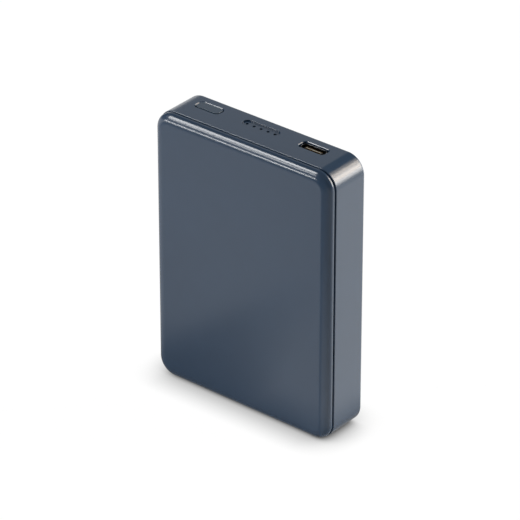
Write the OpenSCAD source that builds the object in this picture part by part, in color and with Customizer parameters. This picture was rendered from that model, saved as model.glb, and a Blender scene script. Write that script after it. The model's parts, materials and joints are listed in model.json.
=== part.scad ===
// Pocket power bank: a deep moulded rear shell and a clip-on front cover hold one flat
// pouch cell and a circuit board, which carries the socket, the switch and the lights.
// Millimetres. X is the width, Y the depth with the front face towards -Y, and Z is up.
// The origin is the middle of the bottom face, where the case stands.

/* [Case] */
// Width of the case
case_w = 66; // [62:0.5:80]
// Height of the case
case_h = 90; // [76:0.5:110]
// Depth of the case, from the rear face to the front face
case_d = 16.4; // [15.6:0.1:22]
// Radius of the four corners of the outline
corner_r = 6; // [5:0.1:8]
// Thickness of the shell's walls
wall = 1.6; // [1.4:0.1:2]
// Rounding of the rear edge
rear_edge_r = 1; // [0.4:0.1:1.3]
// Rounding of the rim at the seam
rim_r = 0.2; // [0.1:0.05:0.4]

/* [Front cover] */
// Depth of the cover in front of the seam
cover_d = 3; // [2.7:0.1:4]
// Thickness of the cover's face
cover_wall = 1.6; // [1.2:0.1:2]
// How far the cover's outline stands in from the shell's
cover_step = 0.25; // [0:0.05:0.4]
// Width of the shadow groove along the seam
groove_w = 0.45; // [0.2:0.05:0.6]
// Depth of the shadow groove, from the cover's side
groove_depth = 0.6; // [0.3:0.05:0.8]
// How far the cover's rounded edge reaches in from its side
edge_inset = 3.3; // [2:0.1:4]
// How far the cover's rounded edge falls from its face
edge_fall = 2.1; // [1:0.1:2.2]
// Height of the locating lip inside the shell
lip_h = 2; // [1.6:0.1:3]
// Thickness of the locating lip
lip_t = 1; // [0.8:0.1:1.2]
// Gap between the lip and the shell's wall
lip_clear = 0.1; // [0.05:0.05:0.2]

/* [Snap hooks] */
// Length of one hook along the wall
hook_l = 6; // [4:0.5:8]
// How far a hook reaches into the wall
hook_reach = 0.45; // [0.3:0.05:0.6]
// Height of a hook along the lip
hook_h = 1; // [0.8:0.05:1.2]
// Distance from the seam to the hook's catch face
hook_drop = 0.7; // [0.5:0.05:0.8]
// Gap around a hook in its pocket
hook_clear = 0.1; // [0.05:0.05:0.2]
// Distance between hooks on the two sides
side_hook_pitch = 25; // [18:0.5:28]
// Distance between the two hooks on each end
end_hook_pitch = 24; // [16:0.5:30]

/* [Row of controls on the top] */
// Depth of the row's centre line, from the rear face
row_d = 5.25; // [5.2:0.05:6.5]
// Distance from the left side to the button's centre
button_side = 12.2; // [11.5:0.1:14]
// Length of the button
button_w = 8.5; // [7:0.1:9]
// Width of the button
button_d = 3.4; // [3:0.1:4]
// Corner radius of the button
button_r = 1.1; // [0.3:0.1:1.2]
// Gap around the button
button_clear = 0.25; // [0.1:0.05:0.25]
// How far the button stands above the case
button_proud = 0.05; // [0:0.05:0.4]
// Width of the flange that keeps the button in
button_flange = 0.6; // [0.4:0.1:0.8]
// Thickness of the flange
button_flange_t = 0.7; // [0.5:0.1:0.8]
// Gap between the flange and the top wall
button_flange_clear = 0.1; // [0.05:0.05:0.2]
// Travel of the button and of the switch under it
button_travel = 0.35; // [0.2:0.05:0.4]
// Number of lights
light_count = 5; // [3:1:5]
// Distance between lights
light_pitch = 2.6; // [2.4:0.1:3]
// Radius of one light hole
light_r = 0.5; // [0.4:0.05:0.8]
// Width of the shallow slot that the lights lie in
light_slot_d = 3.4; // [2.6:0.1:3.4]
// Length of the slot beyond the last light, to the slot's end
light_slot_end = 1.5; // [1.5:0.1:2]
// Depth of the slot
light_slot_depth = 0.6; // [0.2:0.05:0.6]
// Distance from the right side to the socket's centre
socket_side = 14.8; // [12.5:0.1:15]

/* [Socket] */
// Width of the socket's metal shell
socket_w = 8.94; // [8.9:0.01:9]
// Height of the socket's metal shell
socket_h = 3.26; // [3.2:0.01:3.4]
// Length of the socket's metal shell
socket_l = 7.9; // [7:0.1:9]
// Thickness of the metal
socket_wall = 0.3; // [0.2:0.05:0.35]
// How far the socket's mouth lies below the top of the case
socket_sink = 0.35; // [0.1:0.05:0.5]
// Gap between the metal shell and the case
socket_clear = 0.25; // [0.05:0.05:0.3]
// Corner radius of the opening for the socket
socket_hole_r = 1; // [0.6:0.1:1.6]
// Width of the tongue
tongue_w = 6.69; // [6.6:0.01:6.8]
// Thickness of the tongue
tongue_t = 0.7; // [0.6:0.05:0.8]
// How far the tongue lies below the mouth
tongue_sink = 0.4; // [0.4:0.1:1.4]
// Length of the moulded block at the back of the socket
core_l = 2; // [1.5:0.1:2.5]
// Contacts on each face of the tongue
contact_count = 12; // [4:2:12]
// Distance between contacts
contact_pitch = 0.5; // [0.45:0.01:0.5]

/* [Circuit board] */
// Height of the board
board_h = 14; // [13.5:0.5:16]
// Thickness of the board
board_t = 1; // [0.8:0.1:1.2]
// Gap between the board and the side walls
board_side_gap = 2.4; // [1.5:0.1:3]
// Gap between the board and the top wall
board_top_gap = 1.8; // [1.6:0.1:2.2]
// Distance from the board's edges to its fixings
fixing_edge = 2.8; // [2.5:0.1:3]
// Radius of the bosses under the board
boss_r = 2; // [1.8:0.1:2.2]
// Radius of a screw's shank
screw_r = 0.95; // [0.8:0.05:1]
// Radius of a screw's head
screw_head_r = 1.75; // [1.6:0.05:1.9]
// Height of a screw's head
screw_head_h = 1.2; // [1:0.1:1.5]
// Length of a screw below its head
screw_l = 2.7; // [2.6:0.1:3.2]
// Gap around screws and pegs in the board
fixing_clear = 0.15; // [0.1:0.05:0.25]

/* [Switch] */
// Width of the switch
switch_w = 6; // [5:0.1:6.4]
// Depth of the switch behind its push face
switch_l = 3.5; // [3:0.1:4]
// Width of the switch's plunger
plunger_w = 2.6; // [2:0.1:3]
// Thickness of the switch's plunger
plunger_t = 1.4; // [1:0.1:1.8]
// How far the plunger stands out of the switch
plunger_out = 0.8; // [0.6:0.1:1.2]
// Length of the plunger inside the switch
plunger_in = 1.1; // [0.8:0.1:1.4]
// Gap around the plunger
plunger_clear = 0.12; // [0.08:0.02:0.2]

/* [Cell] */
// Gap between the cell and the side walls
cell_side_gap = 2.4; // [1.8:0.1:3]
// Gap between the cell and the bottom wall
cell_end_gap = 1.2; // [0.8:0.1:2]
// Height of the sealed terrace on top of the cell
terrace_h = 4; // [3.8:0.1:5]
// Thickness of the sealed foil
foil_t = 0.4; // [0.3:0.05:0.6]
// Corner radius of the cell
cell_r = 2; // [1.8:0.1:3]
// Rounding of the cell's drawn edge
cell_edge_r = 1.5; // [1:0.1:1.7]
// Thickness of the adhesive behind the cell
adhesive_t = 0.4; // [0.2:0.1:0.8]
// Thickness of the foam in front of the cell
foam_t = 1.6; // [1:0.1:2.5]
// Margin around the adhesive and the foam
pad_margin = 8; // [5:0.5:14]
// Width of a cell tab
tab_w = 5; // [4:0.5:6]
// Thickness of a cell tab
tab_t = 0.15; // [0.1:0.05:0.2]
// Distance between the two tabs
tab_pitch = 18; // [15:0.5:20]
// Width of the protection board
guard_w = 42; // [40:0.5:46]
// Height of the protection board
guard_h = 3.4; // [3:0.1:3.6]
// Thickness of the protection board
guard_t = 0.8; // [0.6:0.1:1]
// Thickness of the insulating paper under the protection board
paper_t = 0.2; // [0.1:0.05:0.3]
// Radius of a lead
lead_r = 0.8; // [0.6:0.05:0.9]
// Radius of a lead's bends
lead_bend_r = 1.8; // [1.6:0.1:1.9]
// Distance between the two leads
lead_pitch = 4; // [3:0.1:4]

/* [Hidden] */
$fn = 64;

// Overlap that lets a cut run past a face
cut = 1;
// Overlap that joins the forms of one moulding
lap = 0.05;

// Case and cover
seam_d = case_d - cover_d;
rear_y = case_d / 2;
top_inner_z = case_h - wall;
edge_wall = cover_d - groove_w - edge_fall;
edge_steps = 12;
lip_inset = wall + lip_clear;
cover_cavity_inset = lip_inset + lip_t;

// Row of controls
row_y = rear_y - row_d;
button_x = button_side - case_w / 2;
socket_x = case_w / 2 - socket_side;
light_x = (button_x + socket_x) / 2;
light_slot_w = (light_count - 1) * light_pitch + 2 * light_slot_end;
light_floor_z = case_h - light_slot_depth;
flange_top_z = top_inner_z - button_flange_clear;
flange_z = flange_top_z - button_flange_t;

// Light guide
guide_bar_h = 1.5;
guide_bar_d = 2.5;
guide_end = 1.3;
guide_bar_w = (light_count - 1) * light_pitch + 2 * guide_end;
guide_clear = 0.05;
guide_rib_t = 0.8;

// Circuit board: the socket lies on its front face, so that face follows the row
board_front_d = row_d - socket_h / 2;
board_back_d = board_front_d - board_t;
board_front_y = rear_y - board_front_d;
board_w = case_w - 2 * wall - 2 * board_side_gap;
board_top_z = top_inner_z - board_top_gap;
board_z = board_top_z - board_h;
board_corner_r = 1;
fixing_x = board_w / 2 - fixing_edge;
screw_z = board_z + fixing_edge;
peg_z = board_top_z - fixing_edge;
peg_r = 0.9;
peg_h = 0.8;
pilot_clear = 0.05;
pilot_end = 0.3;
pilot_r = screw_r + pilot_clear;
pilot_d = board_front_d - screw_l - pilot_end;
screw_slot_w = 0.5;
screw_slot_l = 2.2;
screw_slot_depth = 0.7;

// Socket
socket_top_z = case_h - socket_sink;
socket_z = socket_top_z - socket_l;
socket_leg_w = 1.1;
socket_leg_x = (socket_w - socket_wall) / 2;
socket_leg_past = 0.3;
socket_leg_rise = [1.2, 3.4];
core_clear = 0.03;
contact_w = 0.26;
contact_t = 0.12;
contact_l = 3.6;
tail_l = 1.1;
tail_t = 0.15;

// Switch: it lies on the board with its plunger under the button
pip_w = 3;
pip_d = 1.8;
switch_drop = 1.8;
switch_top_z = board_top_z - switch_drop;
switch_t = 3.3;
switch_y = board_front_y - switch_t / 2;
plunger_top_z = switch_top_z + plunger_out;
plunger_spare = 0.15;
plunger_room = button_travel + plunger_spare;
terminal_w = 0.8;
terminal_l = 1;
terminal_t = 0.3;
terminal_inset = 0.5;

// Lights on the board
led_w = 1.6;
led_l = 1.2;
led_t = 1.2;
led_drop = 0.3;

// Cell and what lies on its terrace: the leads bend twice between it and the board
guard_edge = 0.2;
cell_w = case_w - 2 * wall - 2 * cell_side_gap;
cell_z = wall + cell_end_gap;
terrace_top_z = board_z - 2 * lead_bend_r + guard_edge;
cell_top_z = terrace_top_z - terrace_h;
cell_h = cell_top_z - cell_z;
cell_back_d = wall + adhesive_t;
cell_front_d = case_d - cover_wall - foam_t;
cell_t = cell_front_d - cell_back_d;
cell_fold_t = 0.5;
cell_fold_gap = 2;
terrace_margin = 3;
terrace_back_d = (cell_back_d + cell_front_d - foil_t) / 2;
terrace_front_d = terrace_back_d + foil_t;
guard_z = terrace_top_z - guard_h - guard_edge;
guard_back_d = terrace_front_d + paper_t;
guard_front_d = guard_back_d + guard_t;
tab_rise = 0.6;
tab_lap = 2;
pad_r = 3;

// Leads: from the protection board, over a double bend, to the main board
lead_edge = 2;
lead_x = [lead_edge + lead_r - guard_w / 2, lead_edge + lead_r - guard_w / 2 + lead_pitch];
lead_top_d = guard_front_d + lead_r;
lead_low_d = board_front_d + lead_r;
lead_start_z = guard_z + guard_h / 2;
lead_bend_z = board_z - 2 * lead_bend_r;
lead_on_board = 2.6;
solder_w = 2;
solder_l = 1;
solder_t = 1;

// Ribs on the rear wall that keep the cell off the board
cell_rib_w = 20;
cell_rib_t = 1;
cell_rib_h = 4;
cell_rib_gap = 0.6;

// Small parts on the board: width, height, thickness, and places from the board's middle
// and lower edge. The right-hand ones follow the screw, the left-hand ones the leads.
part_gap = 0.6;
chip_size = [5, 5, 0.9];
chip_rise = 6.5;
transistor_size = [4.9, 3.9, 1.5];
transistor_rise = 4;
transistor_pitch = 5;
transistor_x = lead_x[1] + (solder_w + transistor_size[0]) / 2 + part_gap;
after_transistors = transistor_x + transistor_size[0] / 2 + part_gap;
bulk_size = [4.3, 7.3, 2.8];
bulk_count = 2;
bulk_pitch = bulk_size[0] + part_gap;
bulk_x = fixing_x - screw_head_r - bulk_size[0] / 2 - part_gap;
bulk_rise = socket_z - tail_l - board_z - bulk_size[1] / 2 - part_gap;
inductor_size = [7, 7, 4.2];
inductor_rise = 5.2;
inductor_x = bulk_x - (bulk_count - 1) * bulk_pitch - (bulk_size[0] + inductor_size[0]) / 2 - part_gap;
inductor_chamfer = 1.2;
inductor_foot_t = 0.3;
ceramic_size = [1.25, 2, 1.25];
ceramic_count = 8;
ceramic_pitch = 2.4;
ceramic_rise = 10.4;
ceramic_x = after_transistors + ceramic_size[0] / 2;
resistor_size = [0.8, 1.6, 0.45];
resistor_count = 6;
resistor_pitch = 1.25;
resistor_rise = 1.8;
resistor_x = after_transistors + resistor_size[0] / 2;
sense_size = [6.4, 3.2, 0.6];
sense_rise = 6.2;
guard_chip_size = [3, 2.2, 0.8];
guard_chip_places = [-2.2, 2.2];

// Colours
slate = [0.23, 0.27, 0.32];
slate_button = [0.25, 0.29, 0.34];
clear_plastic = [0.85, 0.88, 0.9, 0.6];
board_green = [0.05, 0.3, 0.16];
steel = [0.75, 0.76, 0.78];
black_plastic = [0.07, 0.07, 0.08];
gold = [0.83, 0.64, 0.25];
foil_grey = [0.72, 0.73, 0.74];
ferrite = [0.28, 0.28, 0.29];
ceramic_tan = [0.66, 0.55, 0.42];

// Local frame of the mouldings: x is the width, y the height, z the depth from the rear face
module from_rear(d = 0) {
    translate([0, rear_y - d, 0]) rotate([90, 0, 0]) children();
}

module rounded_rect(w, h, r) {
    square([w - 2 * r, h], center = true);
    square([w, h - 2 * r], center = true);
    for (sx = [-1, 1], sy = [-1, 1])
        translate([sx * (w / 2 - r), sy * (h / 2 - r)]) circle(r);
}

module stadium(w, h) {
    square([w - h, h], center = true);
    for (s = [-1, 1]) translate([s * (w - h) / 2, 0]) circle(h / 2);
}

// The case's outline in the mouldings' frame, drawn in by an inset
module outline(inset) {
    translate([0, case_h / 2]) rounded_rect(case_w - 2 * inset, case_h - 2 * inset, corner_r - inset);
}

// A plate with rounded corners whose edge all round follows the profile given as its child:
// the profile runs outwards along x for e and up along y for t, and starts a lap inside the plate
module edged_plate(w, h, r, e, t) {
    inner_w = w - 2 * e;
    inner_h = h - 2 * e;
    inner_r = r - e;
    linear_extrude(t) rounded_rect(inner_w, inner_h, inner_r);
    for (k = [0:3]) {
        reach = (k % 2 == 0 ? inner_w : inner_h) / 2;
        run = (k % 2 == 0 ? inner_h : inner_w) - 2 * inner_r;
        rotate([0, 0, 90 * k]) {
            translate([reach, run / 2, 0]) rotate([90, 0, 0]) linear_extrude(run) children();
            translate([reach - inner_r, run / 2, 0]) rotate_extrude(angle = 90)
                translate([inner_r, 0]) children();
        }
    }
}

// The same plate on the case's outline
module edged_case_plate(inset, e, t) {
    translate([0, case_h / 2, 0])
        edged_plate(case_w - 2 * inset, case_h - 2 * inset, corner_r - inset, e, t) children();
}

// Edge profile that opens out from the plate's lower face
module round_below(r) {
    translate([-lap, 0]) square([lap, r]);
    intersection() {
        square(r);
        translate([0, r]) circle(r);
    }
}

// Edge profile that closes in to the plate's upper face
module round_above(r) {
    translate([-lap, 0]) square([lap, r]);
    intersection() {
        square(r);
        circle(r);
    }
}

// Edge of the cover: a short straight side, then a quarter of an ellipse into the face
module cover_edge() {
    polygon([
        [-lap, 0],
        [edge_inset, 0],
        for (i = [0:edge_steps]) let (turn = 90 * i / edge_steps)
            [edge_inset * cos(turn), edge_wall + edge_fall * sin(turn)],
        [-lap, edge_wall + edge_fall]
    ]);
}

// Places children at every snap hook: x points out of the case from the wall's inner face,
// y runs along the wall and z is the depth from the seam
module at_hooks() {
    translate([0, case_h / 2, seam_d])
        for (k = [0:3]) {
            reach = (k % 2 == 0 ? case_w : case_h) / 2 - wall;
            places = k % 2 == 0 ? [-side_hook_pitch, 0, side_hook_pitch]
                                : [-end_hook_pitch / 2, end_hook_pitch / 2];
            rotate([0, 0, 90 * k])
                for (place = places) translate([reach, place, 0]) children();
        }
}

// A prism whose outline is drawn across the wall, in x and depth, centred along the wall
module along_wall(l) {
    translate([0, l / 2, 0]) rotate([90, 0, 0]) linear_extrude(l) children();
}

module at_lights() {
    for (i = [0:light_count - 1])
        translate([light_x + (i - (light_count - 1) / 2) * light_pitch, row_y, 0]) children();
}

module at_fixings(z) {
    for (s = [-1, 1]) translate([s * fixing_x, z, 0]) children();
}

// A block lying on the board's front face, placed from the board's middle and lower edge
module on_board(place, size) {
    translate([place[0] - size[0] / 2, board_front_y - size[2], board_z + place[1] - size[1] / 2])
        cube([size[0], size[2], size[1]]);
}

module shell_hollow() {
    translate([0, 0, wall]) linear_extrude(seam_d) outline(wall);
}

module shell_blank() {
    linear_extrude(seam_d) outline(rear_edge_r);
    edged_case_plate(0, rear_edge_r, rear_edge_r) round_below(rear_edge_r);
    translate([0, 0, rear_edge_r]) linear_extrude(seam_d - rear_edge_r - rim_r) outline(0);
    translate([0, 0, seam_d - rim_r]) edged_case_plate(0, rim_r, rim_r) round_above(rim_r);
}

module hook_pockets() {
    at_hooks() along_wall(hook_l + 2 * hook_clear)
        translate([-cut, -hook_drop - hook_h - hook_clear])
            square([cut + hook_reach + hook_clear, hook_h + 2 * hook_clear]);
}

module board_supports() {
    boss_h = board_back_d - wall + lap;
    translate([0, 0, wall - lap]) {
        at_fixings(screw_z) cylinder(h = boss_h, r = boss_r);
        at_fixings(peg_z) {
            cylinder(h = boss_h, r = boss_r);
            cylinder(h = boss_h + board_t + peg_h, r = peg_r);
        }
    }
}

module cell_rib() {
    translate([-cell_rib_w / 2, board_z - cell_rib_gap - cell_rib_t, wall - lap])
        cube([cell_rib_w, cell_rib_t, cell_rib_h + lap]);
}

module light_guide_ribs() {
    rib_x = guide_bar_w / 2 + guide_clear;
    for (s = [-1, 1])
        translate([light_x + s * (rib_x + guide_rib_t / 2) - guide_rib_t / 2,
                   row_y - guide_bar_d / 2, top_inner_z - guide_bar_h])
            cube([guide_rib_t, guide_bar_d, guide_bar_h + lap]);
}

module top_openings() {
    translate([button_x, row_y, top_inner_z - cut]) linear_extrude(wall + 2 * cut)
        rounded_rect(button_w + 2 * button_clear, button_d + 2 * button_clear, button_r + button_clear);
    translate([light_x, row_y, light_floor_z]) linear_extrude(light_slot_depth + cut)
        stadium(light_slot_w, light_slot_d);
    at_lights() translate([0, 0, top_inner_z - cut]) cylinder(h = wall + 2 * cut, r = light_r);
    translate([socket_x, row_y, top_inner_z - cut]) linear_extrude(wall + 2 * cut)
        rounded_rect(socket_w + 2 * socket_clear, socket_h + 2 * socket_clear, socket_hole_r);
}

module rear_shell() {
    color(slate) difference() {
        union() {
            from_rear() {
                difference() {
                    shell_blank();
                    shell_hollow();
                    hook_pockets();
                }
                board_supports();
                cell_rib();
            }
            light_guide_ribs();
        }
        from_rear(pilot_d) at_fixings(screw_z) cylinder(h = board_back_d, r = pilot_r);
        top_openings();
    }
}

module front_cover() {
    color(slate) from_rear() {
        difference() {
            union() {
                translate([0, 0, seam_d + groove_w])
                    edged_case_plate(cover_step, edge_inset, cover_d - groove_w) cover_edge();
                translate([0, 0, seam_d]) linear_extrude(groove_w + lap)
                    outline(cover_step + groove_depth);
                translate([0, 0, seam_d - lip_h]) linear_extrude(lip_h + lap) outline(lip_inset);
                at_hooks() along_wall(hook_l) polygon([
                    [-lip_clear - lip_t / 2, -hook_drop],
                    [hook_reach, -hook_drop],
                    [hook_reach, -hook_drop - hook_h / 2],
                    [-lip_clear, -hook_drop - hook_h],
                    [-lip_clear - lip_t / 2, -hook_drop - hook_h]
                ]);
            }
            translate([0, 0, seam_d - lip_h - cut])
                linear_extrude(lip_h + cut + cover_d - cover_wall) outline(cover_cavity_inset);
        }
    }
}

module power_button() {
    color(slate_button) translate([button_x, row_y, 0]) {
        translate([0, 0, flange_z]) linear_extrude(case_h + button_proud - flange_z)
            rounded_rect(button_w, button_d, button_r);
        translate([0, 0, flange_z]) linear_extrude(button_flange_t)
            rounded_rect(button_w + 2 * button_flange, button_d + 2 * button_flange,
                         button_r + button_flange);
        translate([-pip_w / 2, switch_y - row_y - pip_d / 2, plunger_top_z])
            cube([pip_w, pip_d, flange_z - plunger_top_z + lap]);
    }
}

module light_guide() {
    bar_z = top_inner_z - guide_bar_h;
    color(clear_plastic) {
        translate([light_x - guide_bar_w / 2, row_y - guide_bar_d / 2, bar_z])
            cube([guide_bar_w, guide_bar_d, guide_bar_h]);
        at_lights() translate([0, 0, top_inner_z - lap])
            cylinder(h = light_floor_z - top_inner_z + lap, r = light_r - guide_clear);
    }
}

module main_board() {
    color(board_green) from_rear(board_back_d) linear_extrude(board_t) difference() {
        translate([0, board_z + board_h / 2]) rounded_rect(board_w, board_h, board_corner_r);
        at_fixings(screw_z) circle(screw_r + fixing_clear);
        at_fixings(peg_z) circle(peg_r + fixing_clear);
        for (s = [-1, 1], rise = socket_leg_rise)
            translate([socket_x + s * socket_leg_x, socket_z + rise])
                square([socket_wall + 2 * fixing_clear, socket_leg_w + 2 * fixing_clear], center = true);
    }
}

module board_screws() {
    color(steel) from_rear(board_front_d) at_fixings(screw_z) difference() {
        union() {
            cylinder(h = screw_head_h, r = screw_head_r);
            translate([0, 0, -screw_l]) cylinder(h = screw_l + lap, r = screw_r);
        }
        for (turn = [0, 90])
            rotate([0, 0, turn]) translate([0, 0, screw_head_h])
                cube([screw_slot_l, screw_slot_w, 2 * screw_slot_depth], center = true);
    }
}

module usb_socket_shell() {
    leg_d = socket_h / 2 + board_t + socket_leg_past;
    color(steel) translate([socket_x, row_y, 0]) {
        translate([0, 0, socket_z]) linear_extrude(socket_l) difference() {
            stadium(socket_w, socket_h);
            stadium(socket_w - 2 * socket_wall, socket_h - 2 * socket_wall);
        }
        for (s = [-1, 1], rise = socket_leg_rise)
            translate([s * socket_leg_x - socket_wall / 2, 0, socket_z + rise - socket_leg_w / 2])
                cube([socket_wall, leg_d, socket_leg_w]);
    }
}

module usb_socket_core() {
    bore_w = socket_w - 2 * socket_wall - 2 * core_clear;
    bore_h = socket_h - 2 * socket_wall - 2 * core_clear;
    color(black_plastic) translate([socket_x, row_y, socket_z]) {
        linear_extrude(core_l) stadium(bore_w, bore_h);
        translate([-tongue_w / 2, -tongue_t / 2, core_l - lap])
            cube([tongue_w, tongue_t, socket_l - core_l - tongue_sink + lap]);
    }
}

module usb_socket_contacts() {
    contact_z = socket_top_z - tongue_sink - contact_l;
    color(gold) for (i = [0:contact_count - 1]) {
        x = socket_x + (i - (contact_count - 1) / 2) * contact_pitch - contact_w / 2;
        for (face = [row_y + tongue_t / 2, row_y - tongue_t / 2 - contact_t])
            translate([x, face, contact_z]) cube([contact_w, contact_t, contact_l]);
        translate([x, board_front_y - tail_t, socket_z - tail_l]) cube([contact_w, tail_t, tail_l]);
    }
}

module switch_body() {
    color(black_plastic) difference() {
        translate([button_x - switch_w / 2, board_front_y - switch_t, switch_top_z - switch_l])
            cube([switch_w, switch_t, switch_l]);
        translate([button_x - plunger_w / 2 - plunger_clear, switch_y - plunger_t / 2 - plunger_clear,
                   switch_top_z - plunger_in - plunger_room])
            cube([plunger_w + 2 * plunger_clear, plunger_t + 2 * plunger_clear,
                  plunger_in + plunger_room + cut]);
    }
}

module switch_plunger() {
    color("ivory") translate([button_x - plunger_w / 2, switch_y - plunger_t / 2, switch_top_z - plunger_in])
        cube([plunger_w, plunger_t, plunger_in + plunger_out]);
}

module switch_terminals() {
    color(steel) for (s = [-1, 1], end = [0, 1])
        translate([button_x + s * (switch_w + terminal_l) / 2 - terminal_l / 2, board_front_y - terminal_t,
                   switch_top_z - switch_l + terminal_inset
                   + end * (switch_l - terminal_w - 2 * terminal_inset)])
            cube([terminal_l, terminal_t, terminal_w]);
}

module indicator_leds() {
    color("white") at_lights()
        translate([-led_w / 2, board_front_y - row_y - led_t, board_top_z - led_drop - led_l])
            cube([led_w, led_t, led_l]);
}

module controller_chip() {
    color(black_plastic) on_board([0, chip_rise], chip_size);
}

module power_transistors() {
    color(black_plastic) for (rise = [transistor_rise, transistor_rise + transistor_pitch])
        on_board([transistor_x, rise], transistor_size);
}

// A shielded coil: a chamfered ferrite block on two flat feet
module power_inductor() {
    half = inductor_size[0] / 2;
    shoulder = half - inductor_chamfer;
    color(ferrite) {
        on_board([inductor_x, inductor_rise],
                 [inductor_size[0], inductor_size[1] - 2 * inductor_chamfer, inductor_foot_t + lap]);
        from_rear(board_front_d + inductor_foot_t)
            translate([inductor_x, board_z + inductor_rise, 0])
                linear_extrude(inductor_size[2] - inductor_foot_t)
                    polygon([for (turn = [0:90:270]) each [
                        [half * cos(turn) - shoulder * sin(turn), half * sin(turn) + shoulder * cos(turn)],
                        [shoulder * cos(turn) - half * sin(turn), shoulder * sin(turn) + half * cos(turn)]
                    ]]);
    }
}

module bulk_capacitors() {
    color([0.75, 0.55, 0.2]) for (i = [0:bulk_count - 1])
        on_board([bulk_x - i * bulk_pitch, bulk_rise], bulk_size);
}

module ceramic_capacitors() {
    color(ceramic_tan) for (i = [0:ceramic_count - 1])
        on_board([ceramic_x + i * ceramic_pitch, ceramic_rise], ceramic_size);
}

module chip_resistors() {
    color(black_plastic) for (i = [0:resistor_count - 1])
        on_board([resistor_x + i * resistor_pitch, resistor_rise], resistor_size);
}

module sense_resistor() {
    color(black_plastic) on_board([button_x, sense_rise], sense_size);
}

// Drawn foil pouch: rounded towards the front, with its side seams folded up against it
module cell_pouch() {
    fold_h = cell_h - 2 * cell_r;
    fold_t = cell_t - cell_edge_r - cell_fold_gap;
    color(foil_grey) {
        from_rear(cell_back_d) translate([0, cell_z + cell_h / 2, 0]) {
            linear_extrude(cell_t - cell_edge_r) rounded_rect(cell_w, cell_h, cell_r);
            translate([0, 0, cell_t - cell_edge_r])
                edged_plate(cell_w, cell_h, cell_r, cell_edge_r, cell_edge_r) round_above(cell_edge_r);
            translate([-cell_w / 2 - cell_fold_t, -fold_h / 2, 0])
                cube([cell_w + 2 * cell_fold_t, fold_h, fold_t]);
        }
        from_rear(terrace_back_d) translate([-cell_w / 2 + terrace_margin, cell_z + cell_r, 0])
            cube([cell_w - 2 * terrace_margin, terrace_top_z - cell_z - cell_r, foil_t]);
    }
}

// A tab leaves the terrace, turns towards the front and laps down onto the protection board
module cell_tab(side) {
    tab_back_d = (terrace_back_d + terrace_front_d - tab_t) / 2;
    translate([side * tab_pitch / 2 - tab_w / 2, 0, 0]) {
        from_rear(tab_back_d) translate([0, terrace_top_z, 0]) cube([tab_w, tab_rise + tab_t, tab_t]);
        from_rear(tab_back_d) translate([0, terrace_top_z + tab_rise, 0])
            cube([tab_w, tab_t, guard_front_d + tab_t - tab_back_d]);
        from_rear(guard_front_d) translate([0, terrace_top_z + tab_rise - tab_lap, 0])
            cube([tab_w, tab_lap + tab_t, tab_t]);
    }
}

module cell_tab_positive() {
    color(steel) cell_tab(-1);
}

module cell_tab_negative() {
    color([0.7, 0.68, 0.62]) cell_tab(1);
}

module insulating_paper() {
    color([0.88, 0.86, 0.74]) from_rear(terrace_front_d) translate([-guard_w / 2, guard_z, 0])
        cube([guard_w, guard_h, paper_t]);
}

module protection_board() {
    color(board_green) from_rear(guard_back_d) translate([-guard_w / 2, guard_z, 0])
        cube([guard_w, guard_h, guard_t]);
}

module protection_chips() {
    color(black_plastic) from_rear(guard_front_d) for (x = guard_chip_places)
        translate([x - guard_chip_size[0] / 2, guard_z + (guard_h - guard_chip_size[1]) / 2, 0])
            cube(guard_chip_size);
}

// A quarter bend of a lead in the plane of height and depth
module lead_bend() {
    rotate([0, -90, 0]) rotate_extrude(angle = 90) translate([lead_bend_r, 0]) circle(lead_r);
}

module lead(x) {
    drop = lead_top_d - lead_low_d - 2 * lead_bend_r;
    from_rear() translate([x, 0, 0]) {
        translate([0, lead_start_z, lead_top_d]) rotate([-90, 0, 0])
            cylinder(h = lead_bend_z - lead_start_z, r = lead_r);
        translate([0, lead_bend_z, lead_top_d - lead_bend_r]) lead_bend();
        translate([0, lead_bend_z + lead_bend_r, lead_low_d + lead_bend_r])
            cylinder(h = drop, r = lead_r);
        translate([0, board_z, lead_low_d + lead_bend_r]) rotate([180, 0, 0]) lead_bend();
        translate([0, board_z, lead_low_d]) rotate([-90, 0, 0]) cylinder(h = lead_on_board, r = lead_r);
    }
}

module lead_positive() {
    color("firebrick") lead(lead_x[0]);
}

module lead_negative() {
    color([0.12, 0.12, 0.13]) lead(lead_x[1]);
}

module solder_joints() {
    color(steel) for (x = lead_x) {
        from_rear(guard_front_d) translate([x - solder_w / 2, lead_start_z - solder_l, 0])
            cube([solder_w, solder_l, solder_t]);
        from_rear(board_front_d) translate([x - solder_w / 2, board_z + lead_on_board, 0])
            cube([solder_w, solder_l, solder_t]);
    }
}

module cell_pad(back_d, t) {
    from_rear(back_d) translate([0, cell_z + cell_h / 2, 0]) linear_extrude(t)
        rounded_rect(cell_w - 2 * pad_margin, cell_h - 2 * pad_margin, pad_r);
}

module cell_adhesive() {
    color("white") cell_pad(wall, adhesive_t);
}

module cell_foam_pad() {
    color([0.15, 0.15, 0.16]) cell_pad(cell_front_d, foam_t);
}

rear_shell();
front_cover();
power_button();
light_guide();
main_board();
board_screws();
usb_socket_shell();
usb_socket_core();
usb_socket_contacts();
switch_body();
switch_plunger();
switch_terminals();
indicator_leds();
controller_chip();
power_transistors();
power_inductor();
bulk_capacitors();
ceramic_capacitors();
chip_resistors();
sense_resistor();
cell_pouch();
cell_tab_positive();
cell_tab_negative();
insulating_paper();
protection_board();
protection_chips();
lead_positive();
lead_negative();
solder_joints();
cell_adhesive();
cell_foam_pad();
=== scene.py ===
import json
import math

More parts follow.
